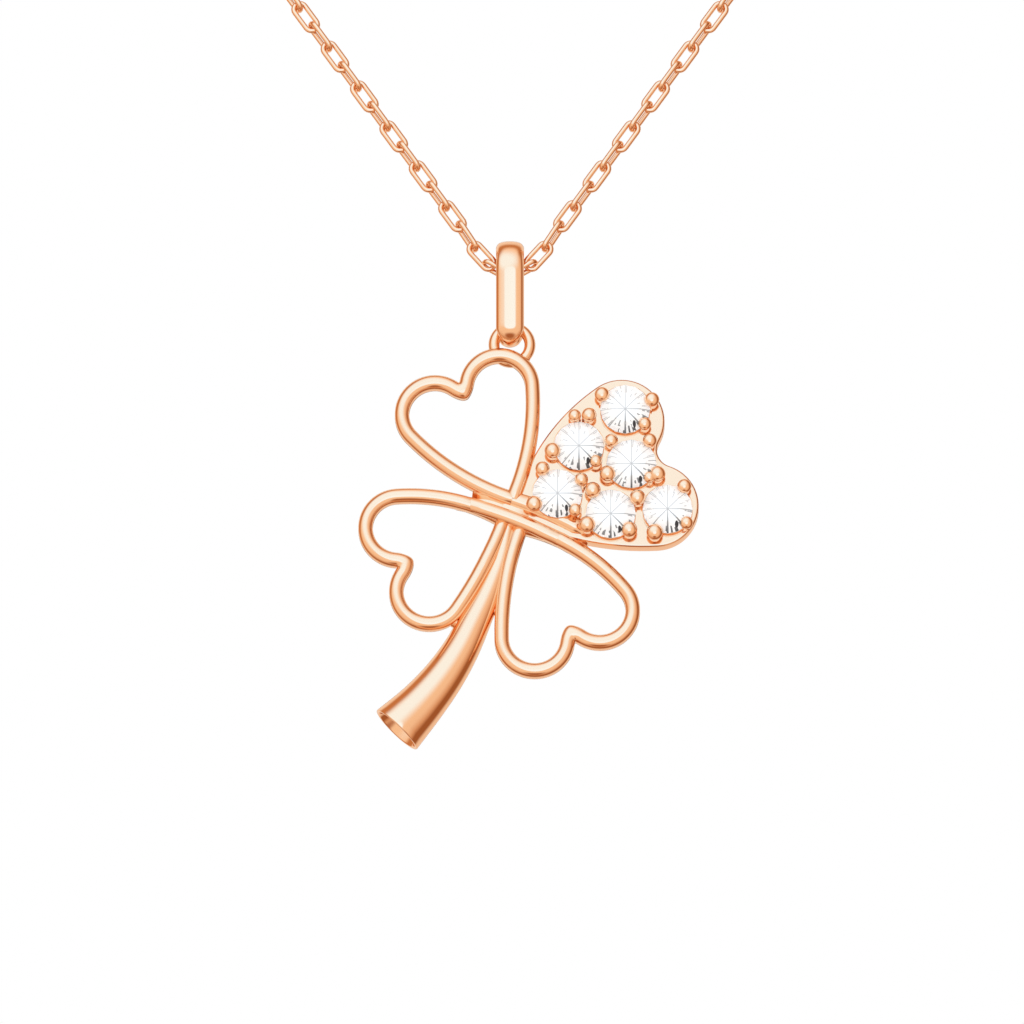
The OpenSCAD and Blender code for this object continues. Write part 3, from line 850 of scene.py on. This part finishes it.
def prongs():
    model = one_prong()
    copies = []
    for stone, way, reach, size in PRONGS:
        start()
        model.select_set(True)
        bpy.context.view_layer.objects.active = model
        bpy.ops.object.duplicate()
        copy = bpy.context.object
        spot = stone_spot(stone - 1) + turned((reach * STONE_R, 0, 0), way + STONE_LEAF[0])
        copy.scale = (size, size, size)
        copy.location = spot + Vector((0, 0, GIRDLE_AT + BALL_RISE))
        bpy.ops.object.transform_apply(location=True, rotation=True, scale=True)
        copies.append(copy)
    bpy.data.objects.remove(model)
    join_into(copies[0], copies[1:])
    stand(copies[0])
    dress(copies[0], "prong_balls", "clover", CLOVER)


prongs()

# %% [markdown]
# The stem is a tube that grows as it bends away, and ends in a thin flared rim round a deep hollow. A
# circle is carried from station to station, moved, turned and resized each time. The last ring is then
# drawn inwards for the rim and pushed back up the tube for the hollow.

# %% Stem
STEM_STEPS = 5
STEM_SIDES = 64
RIM_ROUND = 0.05 * MM
# How the hollow narrows: halfway in, and from there to its end
HOLLOW_NARROWS = (0.78, 0.6)


def stem():
    start()
    stations = [Vector((x * STEM_LEN, y * STEM_LEN, r * STEM_END_R)) for x, y, r in STEM]
    rows = smooth_points(stations, STEM_STEPS)
    route = [Vector((row.x, row.y, STEM_AT)) for row in rows]
    radii = [row.z for row in rows]
    ways = [heading(direction(route, i)) for i in range(len(route))]
    bpy.ops.mesh.primitive_circle_add(vertices=STEM_SIDES, radius=radii[0])
    piece = bpy.context.object
    place_piece(piece, turn=(pi / 2, 0, radians(ways[0] - 90)), at=route[0])
    edit()
    bpy.ops.mesh.select_all(action="SELECT")
    for i in range(1, len(route)):
        onward(route[i - 1], route[i], ways[i] - ways[i - 1], radii[i] / radii[i - 1])
    end, mouth = route[-1], (radii[-1] - STEM_WALL) / radii[-1]
    back = -direction(route, len(route) - 1) * STEM_HOLLOW
    onward(end, end, grow=mouth)
    onward(end, end + back / 2, grow=HOLLOW_NARROWS[0])
    onward(end + back / 2, end + back, grow=HOLLOW_NARROWS[1])
    close_up()
    soften(piece, RIM_ROUND, segments=3, angle=50)
    stand(piece)
    dress(piece, "stem_tube", "clover", CLOVER)


stem()

# %% [markdown]
# The ring that joins the clover to its bail is round wire, bent to a circle and soldered on the top leaf.
# It starts as a torus, and its lowest stretch is spread a little where the solder holds it.

# %% Ring
SOLDERED_BELOW = 0.9
SOLDER_SPREAD = 1.06


def ring():
    start()
    at = Vector((RING_ACROSS, RING_UP, 0))
    bpy.ops.mesh.primitive_torus_add(major_radius=RING_R, minor_radius=RING_WIRE_D / 2,
                                     major_segments=64, minor_segments=20)
    piece = bpy.context.object
    edit()
    pick(lambda co: co.y < -RING_R * SOLDERED_BELOW)
    spread = (SOLDER_SPREAD, 1, SOLDER_SPREAD)
    bpy.ops.transform.resize(value=spread, center_override=(0, -RING_R, 0))
    bpy.ops.object.mode_set(mode="OBJECT")
    place_piece(piece, at=at)
    stand(piece)
    dress(piece, "hanging_ring", "clover", CLOVER, smooth_angle=60)


ring()

# %% [markdown]
# The bail is a domed strap bent into a long loop, wide round the chain and narrow where the ring hangs.
# Its section is spun round the top bend, drawn down in straight steps, spun round the small lower bend
# one step at a time so that each step can be narrowed, and drawn up again to where it began.

# %% Bail
BAIL_LEAN = degrees(asin((BAIL_TOP_R - BAIL_LOW_R) / BAIL_SPAN))
STRAIGHT_STEPS = 16
BAIL_SQUARE = 2.2
# Degrees round the low bend from its lowest point, and half the strap there in millimetres
STRAP_HALF = [(0, 0.23), (9, 0.25), (14, 0.28), (19, 0.34), (29, 0.41), (40, 0.46), (50, 0.51), (64, 0.56)]
LOW_STEPS = 24
BAIL_EDGE_ROUND = 0.03 * MM
TOP_STEP = 4


def strap_half(place):
    """Half the strap's width where its middle is at this place."""
    angle = degrees(atan2(abs(place.y), -BAIL_SPAN - place.z))
    for (low, start_half), (high, end_half) in zip(STRAP_HALF, STRAP_HALF[1:]):
        if angle <= high:
            return (start_half + (end_half - start_half) * (angle - low) / (high - low)) * MM
    return BAIL_W / 2


def set_width(place, half):
    """Gives the strap's end the width that it has at this place, and returns half of it."""
    wanted = strap_half(place)
    bpy.ops.transform.resize(value=(wanted / half, 1, 1), center_override=place)
    return wanted


def draw_strap(here, half, places):
    """Draws the strap's end from place to place, and returns half its width at the last one."""
    for there in places:
        bpy.ops.mesh.extrude_region_move(TRANSFORM_OT_translate={"value": (0, 0, 0)})
        bpy.ops.transform.translate(value=there - here)
        half = set_width(there, half)
        here = there
    return half


def bail():
    piece = section(BAIL_W, BAIL_T, BAIL_DOME, BAIL_T, square=BAIL_SQUARE)
    place_piece(piece, at=(0, 0, BAIL_TOP_R))
    edit()
    bpy.ops.mesh.select_all(action="SELECT")
    low_at = Vector((0, 0, -BAIL_SPAN))
    spin((0, 0, 0), -(90 + BAIL_LEAN), TOP_STEP, axis=(1, 0, 0))
    a = radians(BAIL_LEAN)
    outward = Vector((0, cos(a), -sin(a)))
    top_end = outward * (BAIL_TOP_R + BAIL_T / 2)
    low_end = low_at + outward * (BAIL_LOW_R + BAIL_T / 2)
    route = [top_end.lerp(low_end, k / STRAIGHT_STEPS) for k in range(1, STRAIGHT_STEPS + 1)]
    half = draw_strap(top_end, BAIL_W / 2, route)
    here = route[-1]
    turn = (180 - 2 * BAIL_LEAN) / LOW_STEPS
    for k in range(LOW_STEPS):
        spin(low_at, -turn, 90, axis=(1, 0, 0))
        here = low_at + Matrix.Rotation(-radians(turn), 3, "X") @ (here - low_at)
        half = set_width(here, half)
    mirrored = [Vector((p.x, -p.y, p.z)) for p in [top_end] + route]
    draw_strap(here, half, reversed(mirrored[:-1]))
    spin((0, 0, 0), -(90 + BAIL_LEAN), TOP_STEP, axis=(1, 0, 0))
    close_up()
    soften(piece, BAIL_EDGE_ROUND)
    place_piece(piece, at=HANG)
    dress(piece, "bail_strap", "bail", ["bail"])


bail()

# %% [markdown]
# A cable chain is one oval link, repeated, each turned a quarter against the last. The link is modelled
# once: a small circle of wire is spun round one end, drawn along, spun round the other and drawn back.
# Each copy is then set by the route's own direction. Links near the throat show in the picture and are
# round, and the rest have fewer sides.

# %% Link
LINK_LEN = 1.5 * MM
LINK_W = 0.71 * MM
LINK_WIRE = 0.21 * MM


def link(sides, step):
    start()
    across = (LINK_W - LINK_WIRE) / 2
    along = (LINK_LEN - LINK_W) / 2
    bpy.ops.mesh.primitive_circle_add(vertices=sides, radius=LINK_WIRE / 2)
    piece = bpy.context.object
    place_piece(piece, turn=(0, pi / 2, 0), at=(along, across, 0))
    edit()
    bpy.ops.mesh.select_all(action="SELECT")
    spin((along, 0, 0), -180, step)
    onward(Vector((along, -across, 0)), Vector((-along, -across, 0)))
    spin((-along, 0, 0), -180, step)
    onward(Vector((-along, across, 0)), Vector((along, across, 0)))
    close_up()
    return piece


# %% Chain
FINE_LINKS = 26
FIRST_LINKS = (0, 0.6 * MM, 1.37 * MM)
HIDDEN_LINK_SHARES = (0.77, 0.82)
LINKS_EACH_SIDE = 222
END_INSIDE_EYE = 0.6 * MM
LINK_TURN = 72
ROUTE_STEPS = 60
# Sides of the wire, and degrees a step round a link's end
FINE_LINK = (10, 15)
COARSE_LINK = (6, 45)


def frames_along(route):
    """Places, directions and front normals along the route, the normal carried without twist."""
    rows = []
    normal = Vector((0, -1, 0))
    travelled = 0
    for i, place in enumerate(route):
        way = direction(route, i).normalized()
        normal = (normal - way * normal.dot(way)).normalized()
        if i:
            travelled += (place - route[i - 1]).length
        rows.append((travelled, place, way, normal.copy()))
    return rows


def at_length(rows, length):
    for a, b in zip(rows, rows[1:]):
        if b[0] >= length:
            t = (length - a[0]) / (b[0] - a[0])
            return [a[k].lerp(b[k], t) for k in (1, 2, 3)]
    return [rows[-1][k] for k in (1, 2, 3)]


def chain():
    route = smooth_points([Vector(p) * MM for p in reversed(ROUTE)], ROUTE_STEPS)
    rows = frames_along(route)
    whole = rows[-1][0]
    upright = Vector((0, 1, 0))
    twist = rows[-1][3].angle(upright)
    if rows[-1][2].dot(rows[-1][3].cross(upright)) < 0:
        twist = -twist
    twist = twist - pi * round(twist / pi)
    last = whole - END_INSIDE_EYE
    pitch = (last - FIRST_LINKS[2]) / (LINKS_EACH_SIDE - 2)
    fine, coarse = link(*FINE_LINK), link(*COARSE_LINK)
    copies = []
    for k in range(LINKS_EACH_SIDE + 1):
        length = FIRST_LINKS[k] if k <= 2 else FIRST_LINKS[2] + pitch * (k - 2)
        place, way, normal = at_length(rows, length)
        way.normalize()
        spare = max(0, length - FINE_LINKS * pitch) / (last - FINE_LINKS * pitch)
        quarter = radians(LINK_TURN) if k % 2 else 0
        normal = Matrix.Rotation(twist * spare + quarter, 3, way) @ normal
        normal = (normal - way * normal.dot(way)).normalized()
        for side in ((1,) if k == 0 else (1, -1)):
            x, z = way.copy(), normal.copy()
            at = place.copy()
            if side < 0:
                x.x, z.x, at.x = -x.x, -z.x, -at.x
            y = z.cross(x)
            if k < len(HIDDEN_LINK_SHARES):
                x *= HIDDEN_LINK_SHARES[k]
            copy = (fine if k <= FINE_LINKS else coarse).copy()
            copy.data = copy.data.copy()
            bpy.context.collection.objects.link(copy)
            copy.matrix_world = Matrix((x, y, z)).transposed().to_4x4()
            copy.location = at
            copies.append(copy)
    bpy.data.objects.remove(fine)
    bpy.data.objects.remove(coarse)
    join_into(copies[0], copies[1:])
    bpy.ops.object.transform_apply(location=True, rotation=True, scale=True)
    dress(copies[0], "chain_links", "root", ["chain"], smooth_angle=60)
    print("pitch", round(pitch / MM, 4), "mm,", len(copies), "links")
    print("route", round(whole / MM, 1), "mm a side")


chain()

# %% [markdown]
# The clasp and the stones already have their true shapes, so they keep them and only get their finish.

# %% Kept nodes
def finish_node(name, material):
    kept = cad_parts[name]
    kept.data.materials.clear()
    kept.data.materials.append(material)


finish_node("clasp", GOLD)
for number in range(len(STONES)):
    finish_node(f"stone_{number + 1}", zirconia_with_painted_lines(number))

# %% [markdown]
# Polished metal shows only what stands round it, so the studio is most of the picture. The jewel hangs in
# a small round tent that the camera can't see. Its colour is set by direction. A large white light stands
# above and to the left of the camera, the tent is pale peach in front and behind, and a dark brown band
# runs round the sides, which draws a thin dark line along every rounded edge. The stones get a tent of their
# own without colour, because cut stones break up whatever is round them.

# %% Studio
TENT_R = 0.24
FRONT = -look
UP = Vector((0, -sin(VIEW_UP), cos(VIEW_UP)))
SIDE = Vector((1, 0, 0))
# Each light or shade: degrees above and to the left of the camera, where it starts to fade and where it
# ends, and its colour. The key's colour makes up for that of the gold, so that highlights turn white.
SPOTS = [(-52, 0, 8, 25, (0.4, 0.16, 0.07, 1)), (82, 0, 12, 32, (1.0, 0.82, 0.68, 1)),
         (8, 0, 14, 23, (1.02, 1.48, 2.05, 1)),
         (46, 18, 15, 56, (1.0, 1.38, 1.82, 1))]
DARK_WAY = (SIDE - UP).normalized()
# Where, on the way to the dark side, the light side's colours start and end changing to the dark side's
SIDE_FADE = (-0.5, 0.4)
# Angle from the camera in degrees and the colour there, towards the upper left and the lower right
LIGHT_SIDE = [(0, (0.97, 0.82, 0.67)), (70, (0.97, 0.8, 0.64)), (90, (0.58, 0.26, 0.11)),
              (118, (0.58, 0.26, 0.11)), (134, (0.95, 0.82, 0.7)), (164, (0.95, 0.82, 0.7)),
              (172, (0.3, 0.14, 0.07))]
DARK_SIDE = [(0, (0.97, 0.82, 0.67)), (45, (0.93, 0.76, 0.62)), (66, (0.72, 0.44, 0.28)),
             (82, (0.36, 0.14, 0.055)), (106, (0.36, 0.14, 0.055)), (124, (0.88, 0.72, 0.6)),
             (164, (0.88, 0.72, 0.6)), (172, (0.3, 0.14, 0.07))]
STONE_TENT = [(0, (1, 1, 1)), (48, (1, 1, 1)), (58, (0.55, 0.56, 0.6)), (70, (1, 1, 1)), (120, (1, 1, 1)),
              (180, (0.8, 0.8, 0.82))]


def facing(tree, way):
    """How far the direction from the tent's middle points along a way, from -1 to 1."""
    place = node(tree, "ShaderNodeTexCoord")
    out = node(tree, "ShaderNodeVectorMath", {"operation": "NORMALIZE"})
    tree.links.new(place.outputs["Object"], out.inputs[0])
    dot = node(tree, "ShaderNodeVectorMath", {"operation": "DOT_PRODUCT"})
    tree.links.new(out.outputs["Vector"], dot.inputs[0])
    dot.inputs[1].default_value = way
    return dot.outputs["Value"]


def ring_colours(tree, stops):
    """Colours by the angle from the camera's direction."""
    share = node(tree, "ShaderNodeMapRange", {"From Min": 1.0, "From Max": -1.0},
                 {"Value": facing(tree, FRONT)})
    ramp = node(tree, "ShaderNodeValToRGB", {}, {"Fac": share.outputs["Result"]})
    while len(ramp.color_ramp.elements) < len(stops):
        ramp.color_ramp.elements.new(0.5)
    for element, (angle, colour) in zip(ramp.color_ramp.elements, stops):
        element.position = sin(radians(angle) / 2) ** 2
        element.color = (*colour, 1)
    return ramp.outputs["Color"]


def blend(tree, share, low, high):
    made = node(tree, "ShaderNodeMix", {"data_type": "RGBA"})
    tree.links.new(share, made.inputs[0])
    for socket, given in ((made.inputs[6], low), (made.inputs[7], high)):
        if isinstance(given, tuple):
            socket.default_value = given
        else:
            tree.links.new(given, socket)
    return made.outputs[2]


def tent(name, colour_of, glossy):
    start()
    bpy.ops.mesh.primitive_uv_sphere_add(segments=48, ring_count=24, radius=TENT_R, location=AIM)
    piece = bpy.context.object
    piece.name = name
    made = bpy.data.materials.new(name)
    made.use_nodes = True
    tree = made.node_tree
    tree.nodes.clear()
    glow = node(tree, "ShaderNodeEmission", {}, {"Color": colour_of(tree)})
    out = node(tree, "ShaderNodeOutputMaterial")
    tree.links.new(glow.outputs["Emission"], out.inputs["Surface"])
    piece.data.materials.append(made)
    piece.visible_camera = piece.visible_diffuse = piece.visible_shadow = False
    piece.visible_glossy = glossy
    piece.visible_transmission = not glossy


def metal_tent(tree):
    side = node(tree, "ShaderNodeMapRange", {"From Min": SIDE_FADE[0], "From Max": SIDE_FADE[1]},
                {"Value": facing(tree, DARK_WAY)})
    walls = blend(tree, side.outputs["Result"],
                  ring_colours(tree, LIGHT_SIDE), ring_colours(tree, DARK_SIDE))
    for up, left, inner, outer, colour in SPOTS:
        up, left = radians(up), radians(left)
        way = FRONT * cos(up) * cos(left) + UP * sin(up) - SIDE * cos(up) * sin(left)
        away = value(tree, "ARCCOSINE", facing(tree, way))
        share = node(tree, "ShaderNodeMapRange",
                     {"interpolation_type": "SMOOTHSTEP", "From Min": radians(outer),
                      "From Max": radians(inner)}, {"Value": away})
        walls = blend(tree, share.outputs["Result"], walls, colour)
    return walls


tent("metal_tent", metal_tent, True)
tent("stone_tent", lambda tree: ring_colours(tree, STONE_TENT), False)


def pale_world():
    world = bpy.data.worlds.new("pale_room")
    bpy.context.scene.world = world
    world.use_nodes = True
    world.node_tree.nodes["Background"].inputs["Color"].default_value = (1, 1, 1, 1)
    world.node_tree.nodes["Background"].inputs["Strength"].default_value = 1


pale_world()
bpy.context.scene.view_settings.view_transform = "Standard"

# %% Floor
FLOOR_Z = -0.56
FLOOR_SIZE = 8
PAPER_COLOUR = "#F4F2EF"


def floor():
    start()
    bpy.ops.mesh.primitive_plane_add(size=FLOOR_SIZE, location=(0, 0, FLOOR_Z))
    piece = bpy.context.object
    piece.name = "floor"
    paint = bpy.data.materials.new("pale_paper")
    paint.use_nodes = True
    shader = paint.node_tree.nodes["Principled BSDF"]
    shader.inputs["Base Color"].default_value = srgb(PAPER_COLOUR)
    shader.inputs["Roughness"].default_value = 0.9
    piece.data.materials.append(paint)


floor()
